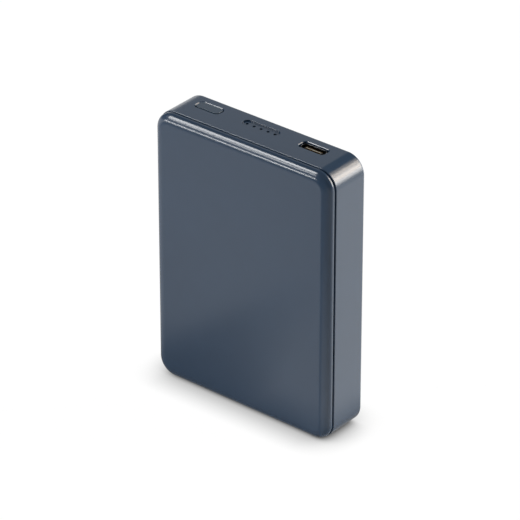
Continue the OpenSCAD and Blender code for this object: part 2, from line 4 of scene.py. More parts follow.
import bmesh
import bpy
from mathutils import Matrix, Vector


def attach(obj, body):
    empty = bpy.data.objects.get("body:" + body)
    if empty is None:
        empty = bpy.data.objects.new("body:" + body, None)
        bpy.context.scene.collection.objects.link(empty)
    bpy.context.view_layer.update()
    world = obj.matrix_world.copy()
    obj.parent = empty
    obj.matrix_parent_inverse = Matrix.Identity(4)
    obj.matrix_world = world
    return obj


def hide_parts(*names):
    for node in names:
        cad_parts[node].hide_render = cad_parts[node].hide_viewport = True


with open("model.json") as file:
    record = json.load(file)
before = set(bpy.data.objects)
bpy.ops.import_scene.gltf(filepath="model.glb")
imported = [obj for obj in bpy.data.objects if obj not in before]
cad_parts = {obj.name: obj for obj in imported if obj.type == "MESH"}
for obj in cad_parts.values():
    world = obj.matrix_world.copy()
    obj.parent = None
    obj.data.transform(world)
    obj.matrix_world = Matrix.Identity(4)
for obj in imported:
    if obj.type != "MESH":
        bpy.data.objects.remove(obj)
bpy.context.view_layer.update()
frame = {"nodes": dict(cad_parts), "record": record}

MM = 0.001

# Sizes of the part, in millimetres, as its source has them
CASE_W, CASE_H, CASE_D = 66.0, 90.0, 16.4
CORNER_R = 6.0
WALL = 1.6
REAR_EDGE_R = 1.0
RIM_R = 0.2
COVER_D = 3.0
COVER_WALL = 1.6
COVER_STEP = 0.25
GROOVE_W = 0.45
GROOVE_DEPTH = 0.6
EDGE_INSET = 3.3
EDGE_FALL = 2.1
LIP_H, LIP_T, LIP_CLEAR = 2.0, 1.0, 0.1
HOOK_L, HOOK_REACH, HOOK_H, HOOK_DROP, HOOK_CLEAR = 6.0, 0.45, 1.0, 0.7, 0.1
SIDE_HOOKS = (-25.0, 0.0, 25.0)
END_HOOKS = (-12.0, 12.0)
ROW_Y = 2.95
BUTTON_X = -20.8
BUTTON_W, BUTTON_D, BUTTON_R = 8.5, 3.4, 1.1
BUTTON_CLEAR = 0.25
BUTTON_PROUD = 0.05
BUTTON_FLANGE, BUTTON_FLANGE_T = 0.6, 0.7
FLANGE_TOP_Z = 88.3
PIP_W, PIP_D, PIP_Y, PIP_Z = 3.0, 1.8, 2.93, 85.6
LIGHT_X = -1.3
LIGHT_COUNT, LIGHT_PITCH, LIGHT_R = 5, 2.6, 0.5
SLOT_W, SLOT_D = 13.4, 3.4
GUIDE_CLEAR = 0.05
GUIDE_W, GUIDE_D, GUIDE_H = 13.0, 2.5, 1.5
SOCKET_X = 18.2
SOCKET_W, SOCKET_H, SOCKET_L, SOCKET_WALL = 8.94, 3.26, 7.9, 0.3
SOCKET_SINK, SOCKET_CLEAR, SOCKET_HOLE_R = 0.35, 0.25, 1.0
TONGUE_W, TONGUE_T, TONGUE_SINK = 6.69, 0.7, 0.4
CORE_L, CORE_CLEAR = 2.0, 0.03
LEG_W, LEG_DROP, LEG_RISES = 1.1, 2.93, (1.2, 3.4)
BOARD_BACK_D, BOARD_T = 2.62, 1.0
FIXING_X, SCREW_Z, PEG_Z = 26.2, 75.4, 83.8
BOSS_R, PEG_R, PEG_H, PILOT_R = 2.0, 0.9, 0.8, 1.0
GUIDE_RIB_T = 0.8
CELL_RIB_W, CELL_RIB_T, CELL_RIB_H, CELL_RIB_Z = 20.0, 1.0, 4.0, 71.0

# Sizes that are the scene's own: the slot is shallower than in the source, the light guide's pins end
# below its floor, and the tongue shows the edge of its plate
SLOT_DEPTH = 0.45
GUIDE_SINK = 0.3
PLATE_W, PLATE_T, PLATE_H, PLATE_PROUD = 5.4, 0.18, 0.5, 0.02

SEAM_D = CASE_D - COVER_D
REAR_Y = CASE_D / 2
TOP_INNER_Z = CASE_H - WALL
SLOT_FLOOR_Z = CASE_H - SLOT_DEPTH
SOCKET_TOP_Z = CASE_H - SOCKET_SINK
SOCKET_LOW_Z = SOCKET_TOP_Z - SOCKET_L
TONGUE_TIP_Z = SOCKET_TOP_Z - TONGUE_SINK

# Broken edges and chamfers
BUTTON_HOLE_CHAMFER = 0.22
SOCKET_HOLE_CHAMFER = 0.15
SLOT_CHAMFER = 0.02
BUTTON_EDGE = 0.06
PIP_EDGE = 0.1
INNER_RIM_EDGE = 0.12
COVER_EDGE_R = 0.1
LIP_CHAMFER = 0.2
POST_EDGE = 0.1
RIB_EDGE = 0.05
GUIDE_EDGE = 0.15
LEG_EDGE = 0.05
CORE_EDGE = 0.1
TONGUE_CORNER_R, TONGUE_TAPER = 0.1, 0.3
PLATE_EDGE = 0.03

# How far joined forms reach into each other, and cutters past what they cut
SUNK = 0.1
SUNK_FINE = 0.05
CUT_PAST = 1.0
HOLE_PAST = 0.2
POCKET_PAST = 0.5
CUT_LOW_Z = TOP_INNER_Z - CUT_PAST

# How finely curves are drawn and shaded
CORNER_STEPS = 20
ROLL_STEPS = 24
REAR_EDGE_STEPS = 10
FILLET_STEPS = 6
COVER_EDGE_STEPS = 3
POST_STEPS = 8
MOUTH_STEPS = 8
BLOCK_STEPS = 2
SHARP_ANGLE = math.radians(32)
NORMAL_WEIGHT = 60


# Meshes

def rounded(w, h, r, steps=CORNER_STEPS):
    """Points round a rectangle with rounded corners, about the origin."""
    points = []
    for quarter, (sx, sy) in enumerate(((1, 1), (-1, 1), (-1, -1), (1, -1))):
        for i in range(steps + 1):
            turn = math.radians(90 * (quarter + i / steps))
            points.append((
                sx * (w / 2 - r) + r * math.cos(turn),
                sy * (h / 2 - r) + r * math.sin(turn),
            ))
    return points


def case_ring(inset, depth):
    """The case's outline drawn in by an inset, at a depth from the rear face."""
    ring = rounded(CASE_W - 2 * inset, CASE_H - 2 * inset, CORNER_R - inset)
    return [(x, REAR_Y - depth, CASE_H / 2 + z) for x, z in ring]


def level_ring(centre, w, d, r, z, grow=0.0):
    """A rounded rectangle lying flat at a height, about a centre on the top."""
    ring = rounded(w + 2 * grow, d + 2 * grow, r + grow)
    return [(centre[0] + x, centre[1] + y, z) for x, y in ring]


def block_ring(centre, w, d, r, z):
    """The outline of a box with broken corners, also where it is thin."""
    ring = rounded(w, d, min(r, w / 3, d / 3), BLOCK_STEPS)
    return [(centre[0] + x, centre[1] + y, z) for x, y in ring]


def post_ring(centre, r, depth):
    """A circle parallel to the rear face, at a depth from it."""
    ring = rounded(2 * r, 2 * r, r, POST_STEPS)
    return [(centre[0] + x, REAR_Y - depth, centre[1] + z) for x, z in ring]


def quarter_round(r, steps=FILLET_STEPS):
    """Pairs of sine and one minus cosine along a quarter turn, times a radius."""
    turns = [math.pi / 2 * i / steps for i in range(steps + 1)]
    return [(r * math.sin(t), r * (1 - math.cos(t))) for t in turns]


def add_loft(bm, rings, looped=False):
    """Joins rings of equal length by quads; the ends are closed, or joined to each other."""
    rows = [[bm.verts.new(Vector(p) * MM) for p in ring] for ring in rings]
    count = len(rows[0])
    following = rows[1:] + rows[:1] if looped else rows[1:]
    for a, b in zip(rows, following):
        for i in range(count):
            j = (i + 1) % count
            bm.faces.new((a[i], a[j], b[j], b[i]))
    if not looped:
        bm.faces.new(rows[0][::-1])
        bm.faces.new(rows[-1])


def add_block(bm, low, high, edge):
    """A box with slightly broken edges."""
    (x0, y0, z0), (x1, y1, z1) = low, high
    centre = ((x0 + x1) / 2, (y0 + y1) / 2)
    w, d = x1 - x0, y1 - y0
    levels = ((z0, edge), (z0 + edge, 0), (z1 - edge, 0), (z1, edge))
    add_loft(bm, [
        block_ring(centre, w - 2 * inset, d - 2 * inset, edge, z) for z, inset in levels
    ])


def make_object(name, bm):
    bmesh.ops.recalc_face_normals(bm, faces=bm.faces)
    mesh = bpy.data.meshes.new(name)
    bm.to_mesh(mesh)
    bm.free()
    piece = bpy.data.objects.new(name, mesh)
    bpy.context.scene.collection.objects.link(piece)
    return piece


def cut(piece, bm):
    """Takes a closed mesh out of a piece."""
    cutter = make_object(piece.name + "_cutter", bm)
    modifier = piece.modifiers.new("openings", "BOOLEAN")
    modifier.operation = "DIFFERENCE"
    modifier.solver = "EXACT"
    modifier.object = cutter
    graph = bpy.context.evaluated_depsgraph_get()
    result = bpy.data.meshes.new_from_object(piece.evaluated_get(graph))
    piece.modifiers.clear()
    old = piece.data
    piece.data = result
    bpy.data.meshes.remove(old)
    bpy.data.objects.remove(cutter)


def smooth(piece):
    """Smooth shading that stays crisp at corners and true on flats."""
    mesh = piece.data
    for face in mesh.polygons:
        face.use_smooth = True
    mesh.set_sharp_from_angle(angle=SHARP_ANGLE)
    modifier = piece.modifiers.new("normals", "WEIGHTED_NORMAL")
    modifier.keep_sharp = True
    modifier.weight = NORMAL_WEIGHT


def dress(piece, body, slot, material, *nodes):
    """Finishes a piece, hides the CAD nodes that it stands for, and attaches it to its body."""
    smooth(piece)
    piece.data.materials.clear()
    piece.data.materials.append(material)
    if nodes:
        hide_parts(*nodes)
    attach(piece, body)


# Rear shell

def light_places():
    first = LIGHT_X - (LIGHT_COUNT - 1) / 2 * LIGHT_PITCH
    return [(first + i * LIGHT_PITCH, ROW_Y) for i in range(LIGHT_COUNT)]


def hook_frames():
    """Origin, outward direction and run of every snap hook, at the wall's inner face."""
    frames = []
    for side in (-1, 1):
        for place in SIDE_HOOKS:
            frames.append(((side * (CASE_W / 2 - WALL), CASE_H / 2 + place), (side, 0), (0, 1)))
        for place in END_HOOKS:
            frames.append(((place, CASE_H / 2 + side * (CASE_H / 2 - WALL)), (0, side), (1, 0)))
    return frames


def add_hook(bm, hook, outline, length):
    """A prism along the wall from an outline in reach and depth from the seam."""
    (x, z), out, run = hook
    rings = []
    for end in (-length / 2, length / 2):
        rings.append([
            (
                x + out[0] * reach + run[0] * end,
                REAR_Y - SEAM_D - depth,
                z + out[1] * reach + run[1] * end,
            )
            for reach, depth in outline
        ])
    add_loft(bm, rings)


def rear_shell_profile():
    """Rings from the rear face round the wall and down to the floor inside."""
    rear_edge = quarter_round(REAR_EDGE_R, REAR_EDGE_STEPS)
    rings = [case_ring(REAR_EDGE_R - out, fall) for out, fall in rear_edge]
    rings += [case_ring(step, SEAM_D - RIM_R + rise) for rise, step in quarter_round(RIM_R)]
    rings += [case_ring(WALL - INNER_RIM_EDGE, SEAM_D), case_ring(WALL, SEAM_D - INNER_RIM_EDGE)]
    rings.append(case_ring(WALL, WALL))
    return rings


def add_opening(bm, x, w, d, r, low_z, chamfer):
    """A cutter in the row on the top, whose mouth is chamfered where it meets the top."""
    levels = (
        (low_z, 0), (CASE_H - chamfer, 0), (CASE_H, chamfer), (CASE_H + CUT_PAST, chamfer),
    )
    add_loft(bm, [level_ring((x, ROW_Y), w, d, r, z, grow) for z, grow in levels])


def button_and_socket_openings():
    bm = bmesh.new()
    add_opening(
        bm, BUTTON_X, BUTTON_W + 2 * BUTTON_CLEAR, BUTTON_D + 2 * BUTTON_CLEAR,
        BUTTON_R + BUTTON_CLEAR, CUT_LOW_Z, BUTTON_HOLE_CHAMFER,
    )
    add_opening(
        bm, SOCKET_X, SOCKET_W + 2 * SOCKET_CLEAR, SOCKET_H + 2 * SOCKET_CLEAR,
        SOCKET_HOLE_R, CUT_LOW_Z, SOCKET_HOLE_CHAMFER,
    )
    return bm


def light_slot():
    bm = bmesh.new()
    add_opening(bm, LIGHT_X, SLOT_W, SLOT_D, SLOT_D / 2, SLOT_FLOOR_Z, SLOT_CHAMFER)
    return bm


def light_holes_and_hook_pockets():
    bm = bmesh.new()
    for place in light_places():
        levels = (CUT_LOW_Z, SLOT_FLOOR_Z + HOLE_PAST)
        add_loft(bm, [level_ring(place, 2 * LIGHT_R, 2 * LIGHT_R, LIGHT_R, z) for z in levels])
    reach = HOOK_REACH + HOOK_CLEAR
    shallow, deep = -HOOK_DROP + HOOK_CLEAR, -HOOK_DROP - HOOK_H - HOOK_CLEAR
    pocket = ((-POCKET_PAST, shallow), (reach, shallow), (reach, deep), (-POCKET_PAST, deep))
    for hook in hook_frames():
        add_hook(bm, hook, pocket, HOOK_L + 2 * HOOK_CLEAR)
    return bm


def add_peg(bm, centre, low, high, r):
    """A round post with a broken edge at its end."""
    rings = ((r, low), (r, high - POST_EDGE), (r - POST_EDGE, high))
    add_loft(bm, [post_ring(centre, radius, depth) for radius, depth in rings])


def add_bored_boss(bm, centre, low, high, r, bore):
    """A boss with a blind bore that stops just above its foot."""
    rings = ((r, low), (r, high), (bore, high), (bore, low + SUNK_FINE))
    add_loft(bm, [post_ring(centre, radius, depth) for radius, depth in rings])


def add_bosses(bm):
    """Bosses with pegs, and bosses with blind screw holes, under the circuit board."""
    for x in (-FIXING_X, FIXING_X):
        add_peg(bm, (x, PEG_Z), WALL - SUNK, BOARD_BACK_D, BOSS_R)
        add_peg(bm, (x, PEG_Z), BOARD_BACK_D - SUNK, BOARD_BACK_D + BOARD_T + PEG_H, PEG_R)
        add_bored_boss(bm, (x, SCREW_Z), WALL - SUNK, BOARD_BACK_D, BOSS_R, PILOT_R)


def add_ribs(bm):
    """Ribs at the ends of the light guide, and one between the cell and the board."""
    for side in (-1, 1):
        x = LIGHT_X + side * (GUIDE_W / 2 + GUIDE_CLEAR + GUIDE_RIB_T / 2)
        add_block(
            bm, (x - GUIDE_RIB_T / 2, ROW_Y - GUIDE_D / 2, TOP_INNER_Z - GUIDE_H),
            (x + GUIDE_RIB_T / 2, ROW_Y + GUIDE_D / 2, TOP_INNER_Z + SUNK), RIB_EDGE,
        )
    add_block(
        bm, (-CELL_RIB_W / 2, REAR_Y - WALL - CELL_RIB_H, CELL_RIB_Z),
        (CELL_RIB_W / 2, REAR_Y - WALL + SUNK, CELL_RIB_Z + CELL_RIB_T), RIB_EDGE,
    )


def make_rear_shell():
    bm = bmesh.new()
    add_loft(bm, rear_shell_profile())
    shell = make_object("rear_shell_moulding", bm)
    for cutter in (button_and_socket_openings, light_slot, light_holes_and_hook_pockets):
        cut(shell, cutter())
    inner = bmesh.new()
    inner.from_mesh(shell.data)
    add_bosses(inner)
    add_ribs(inner)
    inner.to_mesh(shell.data)
    inner.free()
    return shell


# Front cover

def cover_profile():
    """Rings from the front face over the rolled edge, round the groove and lip, into the cavity."""
    rings = []
    base = SEAM_D + GROOVE_W
    edge_wall = COVER_D - GROOVE_W - EDGE_FALL
    for i in range(ROLL_STEPS + 1):
        turn = math.pi / 2 * (1 - i / ROLL_STEPS)
        inset = COVER_STEP + EDGE_INSET * (1 - math.cos(turn))
        rings.append(case_ring(inset, base + edge_wall + EDGE_FALL * math.sin(turn)))
    for rise, step in quarter_round(COVER_EDGE_R, COVER_EDGE_STEPS):
        rings.append(case_ring(COVER_STEP + step, base + COVER_EDGE_R - rise))
    root = COVER_STEP + GROOVE_DEPTH
    lip = WALL + LIP_CLEAR
    lip_end = SEAM_D - LIP_H
    rings += [case_ring(root, base), case_ring(root, SEAM_D), case_ring(lip, SEAM_D)]
    rings += [case_ring(lip, lip_end + LIP_CHAMFER), case_ring(lip + LIP_CHAMFER, lip_end)]
    rings += [case_ring(lip + LIP_T, lip_end), case_ring(lip + LIP_T, CASE_D - COVER_WALL)]
    return rings


def make_front_cover():
    bm = bmesh.new()
    add_loft(bm, cover_profile())
    root = -LIP_CLEAR - LIP_T / 2
    outline = (
        (root, -HOOK_DROP), (HOOK_REACH, -HOOK_DROP), (HOOK_REACH, -HOOK_DROP - HOOK_H / 2),
        (-LIP_CLEAR, -HOOK_DROP - HOOK_H), (root, -HOOK_DROP - HOOK_H),
    )
    for hook in hook_frames():
        add_hook(bm, hook, outline, HOOK_L)
    return make_object("front_cover_moulding", bm)


# Button, lights and socket

def make_button():
    """The cap with the flange that holds it from behind and the pip that presses the switch."""
    bm = bmesh.new()
    cap = ((BUTTON_X, ROW_Y), BUTTON_W, BUTTON_D, BUTTON_R)
    top = CASE_H + BUTTON_PROUD
    flange_z = FLANGE_TOP_Z - BUTTON_FLANGE_T
    rings = [level_ring(*cap, z, BUTTON_FLANGE) for z in (flange_z, FLANGE_TOP_Z)]
    rings.append(level_ring(*cap, FLANGE_TOP_Z))
    for rise, step in quarter_round(BUTTON_EDGE):
        rings.append(level_ring(*cap, top - BUTTON_EDGE + rise, -step))
    add_loft(bm, rings)
    add_block(
        bm, (BUTTON_X - PIP_W / 2, PIP_Y - PIP_D / 2, PIP_Z),
        (BUTTON_X + PIP_W / 2, PIP_Y + PIP_D / 2, flange_z + SUNK_FINE), PIP_EDGE,
    )
    return make_object("power_button_cap", bm)


def make_light_guide():
    """A bar under the top wall with a pin in every hole of the slot."""
    bm = bmesh.new()
    add_block(
        bm, (LIGHT_X - GUIDE_W / 2, ROW_Y - GUIDE_D / 2, TOP_INNER_Z - GUIDE_H),
        (LIGHT_X + GUIDE_W / 2, ROW_Y + GUIDE_D / 2, TOP_INNER_Z), GUIDE_EDGE,
    )
    r = LIGHT_R - GUIDE_CLEAR
    levels = (TOP_INNER_Z - SUNK_FINE, SLOT_FLOOR_Z - GUIDE_SINK)
    for place in light_places():
        add_loft(bm, [level_ring(place, 2 * r, 2 * r, r, z) for z in levels])
    return make_object("light_guide_moulding", bm)


def socket_ring(z, grow=0.0):
    return level_ring((SOCKET_X, ROW_Y), SOCKET_W, SOCKET_H, SOCKET_H / 2, z, grow)


def make_socket_shell():
    """A drawn metal sleeve with a rounded mouth and four legs through the board."""
    bm = bmesh.new()
    edge = SOCKET_WALL / 2
    rings = [socket_ring(SOCKET_LOW_Z, -SOCKET_WALL), socket_ring(SOCKET_LOW_Z)]
    for i in range(MOUTH_STEPS + 1):
        turn = math.pi * i / MOUTH_STEPS
        rise, grow = edge * math.sin(turn), edge * math.cos(turn)
        rings.append(socket_ring(SOCKET_TOP_Z - edge + rise, -edge + grow))
    add_loft(bm, rings, looped=True)
    for side in (-1, 1):
        x = SOCKET_X + side * (SOCKET_W - SOCKET_WALL) / 2
        for rise in LEG_RISES:
            z = SOCKET_LOW_Z + rise
            add_block(
                bm, (x - SOCKET_WALL / 2, ROW_Y, z - LEG_W / 2),
                (x + SOCKET_WALL / 2, ROW_Y + LEG_DROP, z + LEG_W / 2), LEG_EDGE,
            )
    return make_object("usb_socket_sleeve", bm)


def make_socket_core():
    """The moulded block at the back of the socket and its tongue."""
    bm = bmesh.new()
    core_z = SOCKET_LOW_Z + CORE_L
    gap = -SOCKET_WALL - CORE_CLEAR
    levels = ((SOCKET_LOW_Z, gap), (core_z - CORE_EDGE, gap), (core_z, gap - CORE_EDGE))
    add_loft(bm, [socket_ring(z, grow) for z, grow in levels])
    levels = (
        (core_z - SUNK_FINE, 0), (TONGUE_TIP_Z - TONGUE_TAPER, 0), (TONGUE_TIP_Z, TONGUE_TAPER),
    )
    add_loft(bm, [
        level_ring((SOCKET_X, ROW_Y), TONGUE_W - taper, TONGUE_T - taper, TONGUE_CORNER_R, z)
        for z, taper in levels
    ])
    return make_object("usb_socket_tongue", bm)


def make_tongue_plate():
    """The light edge of the plate that stiffens the tongue, showing along its tip."""
    bm = bmesh.new()
    top = TONGUE_TIP_Z + PLATE_PROUD
    add_block(
        bm, (SOCKET_X - PLATE_W / 2, ROW_Y - PLATE_T / 2, top - PLATE_H),
        (SOCKET_X + PLATE_W / 2, ROW_Y + PLATE_T / 2, top), PLATE_EDGE,
    )
    return make_object("usb_socket_tongue_plate", bm)


# Shader nodes

class Tree:
    """The node tree of a material or world, with a short call for each kind of node used here."""

    def __init__(self, owner):
        owner.use_nodes = True
        self.nodes = owner.node_tree.nodes
        self.links = owner.node_tree.links

    def feed(self, socket, value):
        """Gives an input another node's output or a plain value."""
        if isinstance(value, bpy.types.NodeSocket):
            self.links.new(value, socket)
        else:
            socket.default_value = value

    def fill(self, node, **inputs):
        """Feeds inputs by name, with underscores for spaces."""
        for name, value in inputs.items():
            self.feed(node.inputs[name.replace("_", " ")], value)

    def add(self, kind, *values, **inputs):
        """A new node with its inputs, in their order or by name."""
        node = self.nodes.new("ShaderNode" + kind)
        for socket, value in zip(node.inputs, values):
            self.feed(socket, value)
        self.fill(node, **inputs)
        return node

    def place(self):
        return self.add("TexCoord").outputs["Object"]

    def math(self, operation, *values):
        node = self.add("Math", *values)
        node.operation = operation
        return node.outputs[0]

    def vector(self, operation, *values):
        node = self.add("VectorMath", *values)
        node.operation = operation
        return node.outputs["Vector"]

    def length(self, vector):
        node = self.add("VectorMath", vector)
        node.operation = "LENGTH"
        return node.outputs["Value"]

    def slope(self, value, start, end, low=0.0, high=1.0):
        """Goes evenly from low to high while the value goes from start to end."""
        node = self.add(
            "MapRange", Value=value, From_Min=start, From_Max=end, To_Min=low, To_Max=high,
        )
        return node.outputs["Result"]

    def ramp(self, factor, stops):
        """A colour ramp through stops, each a place and a colour."""
        node = self.add("ValToRGB", factor)
        elements = node.color_ramp.elements
        while len(elements) < len(stops):
            elements.new(0.5)
        for element, (place, colour) in zip(elements, stops):
            element.position = place
            element.color = colour
        return node.outputs["Color"]

    def noise(self, where, size, detail, stretch=None):
        """Noise with features of a size in metres; stretch draws it out along axes."""
        if stretch:
            where = self.add("Mapping", Vector=where, Scale=stretch).outputs["Vector"]
        return self.add("TexNoise", Vector=where, Scale=1 / size, Detail=detail).outputs["Fac"]

    def bump(self, height, strength, depth):
        node = self.add("Bump", Height=height, Strength=strength, Distance=depth)
        return node.outputs["Normal"]

    def matte(self, albedo):
        return self.add("BsdfDiffuse", Color=(albedo, albedo, albedo, 1)).outputs["BSDF"]

    def glow(self, strength):
        return self.add("Emission", Strength=strength).outputs["Emission"]

    def mix(self, factor, first, second):
        return self.add("MixShader", factor, first, second).outputs["Shader"]


# Materials

NOISE_SPAN = (0.3, 0.7)
PATCH_DETAIL, GRAIN_DETAIL = 4, 3
GRAIN_DEPTH = 0.25

PLASTIC = {"IOR": 1.55}
SMOKED = {"IOR": 1.49, "Specular_IOR_Level": 0.15}
PLAIN = {}
METAL = {"Metallic": 1.0}
DRAWN = {"Metallic": 1.0, "stretch": (1, 1, 0.05)}
STAMPED = {"Metallic": 1.0, "stretch": (1, 1, 0.08)}
ROLLED = {"Metallic": 1.0, "stretch": (1, 1, 0.1)}

# Colour, range of roughness, spread of the colour, size of its patches, size of the grain, strength of
# the grain, and what else the shader takes; sizes are in metres
SURFACES = {
    "case_slate": ((47, 67, 90), (0.17, 0.23), 0.04, 0.02, 0.00018, 0.06, PLASTIC),
    "button_slate": ((49, 69, 88), (0.2, 0.27), 0.04, 0.004, 0.00015, 0.08, PLASTIC),
    "light_guide_clear": ((6, 7, 8), (0.45, 0.55), 0.1, 0.002, 0.0002, 0.05, SMOKED),
    "screw_steel": ((188, 190, 193), (0.25, 0.4), 0.06, 0.001, 0.0001, 0.15, METAL),
    "socket_steel": ((76, 77, 79), (0.26, 0.36), 0.05, 0.002, 0.00006, 0.15, DRAWN),
    "black_moulding": ((22, 22, 24), (0.4, 0.5), 0.15, 0.002, 0.0001, 0.12, PLAIN),
    "contact_gold": ((166, 128, 66), (0.3, 0.4), 0.06, 0.0008, 0.00005, 0.1, STAMPED),
    "plunger_ivory": ((226, 220, 202), (0.4, 0.5), 0.04, 0.001, 0.0001, 0.1, PLAIN),
    "tinned_metal": ((196, 198, 200), (0.3, 0.45), 0.08, 0.0006, 0.0001, 0.3, METAL),
    "led_white": ((236, 236, 228), (0.25, 0.35), 0.04, 0.0008, 0.0001, 0.08, PLAIN),
    "chip_black": ((38, 38, 40), (0.5, 0.62), 0.12, 0.001, 0.00008, 0.25, PLAIN),
    "ferrite_grey": ((92, 92, 95), (0.6, 0.75), 0.14, 0.0008, 0.00012, 0.4, PLAIN),
    "capacitor_amber": ((206, 158, 62), (0.35, 0.45), 0.06, 0.002, 0.0001, 0.1, PLAIN),
    "capacitor_tan": ((164, 134, 102), (0.45, 0.6), 0.08, 0.0006, 0.0001, 0.2, PLAIN),
    "cell_foil": ((196, 198, 201), (0.28, 0.42), 0.05, 0.01, 0.0035, 0.25, METAL),
    "tab_aluminium": ((208, 210, 212), (0.25, 0.38), 0.05, 0.002, 0.0002, 0.12, ROLLED),
    "tab_nickel": ((190, 184, 172), (0.25, 0.38), 0.05, 0.002, 0.0002, 0.12, ROLLED),
    "paper_cream": ((218, 212, 180), (0.75, 0.9), 0.06, 0.0015, 0.00015, 0.5, PLAIN),
    "lead_red": ((168, 28, 24), (0.42, 0.52), 0.06, 0.002, 0.00012, 0.1, PLAIN),
    "lead_black": ((26, 26, 27), (0.42, 0.52), 0.1, 0.002, 0.00012, 0.1, PLAIN),
    "adhesive_white": ((226, 226, 222), (0.8, 0.95), 0.04, 0.002, 0.0003, 0.5, PLAIN),
    "foam_grey": ((52, 52, 54), (0.85, 0.98), 0.12, 0.001, 0.0005, 0.8, PLAIN),
}

SOLDER_MASK = ((22, 92, 56), (26, 100, 62))
TRACK = (52, 128, 74)
TRACK_PATTERN = {"Scale": 700.0, "Mortar_Size": 0.06, "Brick_Width": 2.2, "Row_Height": 0.7}
TRACK_STRENGTH, TRACK_DEPTH = 0.25, 0.00004
BOARD_ROUGH = (0.3, 0.42)
BOARD_PATCH, BOARD_DETAIL = 0.004, 3


def linear(colour):
    """A colour written as sRGB from 0 to 255, as the shader takes it."""
    return tuple(
        v / 12.92 if v <= 0.04045 else ((v + 0.055) / 1.055) ** 2.4
        for v in (c / 255 for c in colour)
    ) + (1.0,)


def scaled(colour, factor):
    return tuple(c * factor for c in colour[:3]) + (1.0,)


def surface(name, colour, rough, spread, patch, grain, relief, stretch=None, **sockets):
    """A material whose colour and gloss vary in soft patches over a fine grain."""
    material = bpy.data.materials.new(name)
    tree = Tree(material)
    base = linear(colour)
    where = tree.place()
    patches = tree.noise(where, patch, PATCH_DETAIL)
    fine = tree.noise(where, grain, GRAIN_DETAIL, stretch)
    tints = (scaled(base, 1 - spread), scaled(base, 1 + spread))
    tree.fill(
        tree.nodes["Principled BSDF"],
        Base_Color=tree.ramp(patches, tuple(zip(NOISE_SPAN, tints))),
        Roughness=tree.slope(patches, *NOISE_SPAN, *rough),
        Normal=tree.bump(fine, relief, grain * GRAIN_DEPTH),
        **sockets,
    )
    return material


def circuit_board(name):
    """Green solder mask over a faint pattern of tracks."""
    material = bpy.data.materials.new(name)
    tree = Tree(material)
    where = tree.place()
    upright = tree.add("Mapping", Vector=where, Rotation=(math.pi / 2, 0, 0)).outputs["Vector"]
    first, second = (linear(colour) for colour in SOLDER_MASK)
    tracks = tree.add(
        "TexBrick", Vector=upright, Color1=first, Color2=second, Mortar=linear(TRACK),
        **TRACK_PATTERN,
    )
    patches = tree.noise(where, BOARD_PATCH, BOARD_DETAIL)
    tree.fill(
        tree.nodes["Principled BSDF"],
        Base_Color=tracks.outputs["Color"],
        Roughness=tree.slope(patches, *NOISE_SPAN, *BOARD_ROUGH),
        Normal=tree.bump(tracks.outputs["Fac"], TRACK_STRENGTH, TRACK_DEPTH),
    )
    return material


def make_materials():
    materials = {"board_green": circuit_board("board_green")}
    for name, (*values, more) in SURFACES.items():
        materials[name] = surface(name, *values, **more)
    return materials


def dress_cad_nodes(materials):
    """Every CAD node takes the material of its slot in the record."""
    for part in frame["record"]["subparts"]:
        mesh = frame["nodes"][part["node"]].data
        mesh.materials.clear()
        mesh.materials.append(materials[part["material_slot"]])


# Floor: white paper, which lights the part as paper does

FLOOR_SIZE = 5.0
FLOOR_ALBEDO = 0.88

# The camera sees it as white, with a painted contact shadow where the part stands: its white emission
# is darkened by ambient occlusion. The painted shadow gets steeper towards the ends of the part,
# between these two places along X in metres.
FLOOR_SEEN_ALBEDO = 0.03
FLOOR_SEEN_LIFT = 0.99
CONTACT_SHADE_REACH = 0.01
CONTACT_SHADE_POWER = 0.85
CONTACT_SHADE_STEEP = 1.8
CONTACT_SAMPLES = 16
STEEP_RIGHT = (0.025, 0.04)
STEEP_LEFT = (-0.03, -0.042)

# Glossy surfaces see a painted reflection on it: an emission that only glossy rays meet, with painted
# shade beside the part and painted light on the right, at the back and in some directions, in place of
# a studio's uneven light. Each slope below has the two places in metres, or in turns, between which it
# goes, and its two levels where they aren't 0 and 1.
# Overall brightness of the painted reflection
PAINTED_REFLECTION_LEVEL = 1.48
REACH_RIGHT = (-0.035, 0.0, 0.09, 0.018)
REACH_LEFT = (-0.045, -0.03, 0.033, 0.09)
CONTACT_LEVEL = 0.28
LIT_SIDE = (0.029, 0.045)
FAR_EDGE = (0.2, 0.32)
FAR_LEVEL = 0.15
LIT_FAR = (0.05, 0.15)
LIT_BACK = (0.06, 0.2, 0.0, 1.45)
NEAR_APEX = (0.01, 0.13, 0.76, 0.25)
NEAR_TURN = (0.155, 0.22)

# The painted reflection's levels by direction, as parts of a turn round a point near the foot of the
# part
SECTOR_APEX = (0.03, -0.008)
SECTOR_STOPS = (
    (0.0, 0.5), (0.06, 0.58), (0.1, 0.66), (0.15, 0.66), (0.175, 0.2), (0.26, 0.24), (0.4, 0.4),
    (0.5, 0.4), (0.62, 1.1), (0.72, 1.1), (0.8, 0.45), (0.93, 0.45), (1.0, 0.5),
)


def level_beside(tree, where, across):
    """Painted shade beside the part, over a reach that changes along it, and painted light past its
    right end.
    """
    beyond = tree.vector("ABSOLUTE", where)
    beyond = tree.vector("SUBTRACT", beyond, (CASE_W / 2 * MM, CASE_D / 2 * MM, 0))
    beyond = tree.vector("MAXIMUM", beyond, (0, 0, 0))
    reach = tree.math("MINIMUM", *(tree.slope(across, *end) for end in (REACH_RIGHT, REACH_LEFT)))
    contact = tree.math("DIVIDE", tree.length(beyond), reach)
    contact = tree.slope(contact, 0, 1, CONTACT_LEVEL)
    return tree.math("MAXIMUM", contact, tree.slope(across, *LIT_SIDE))


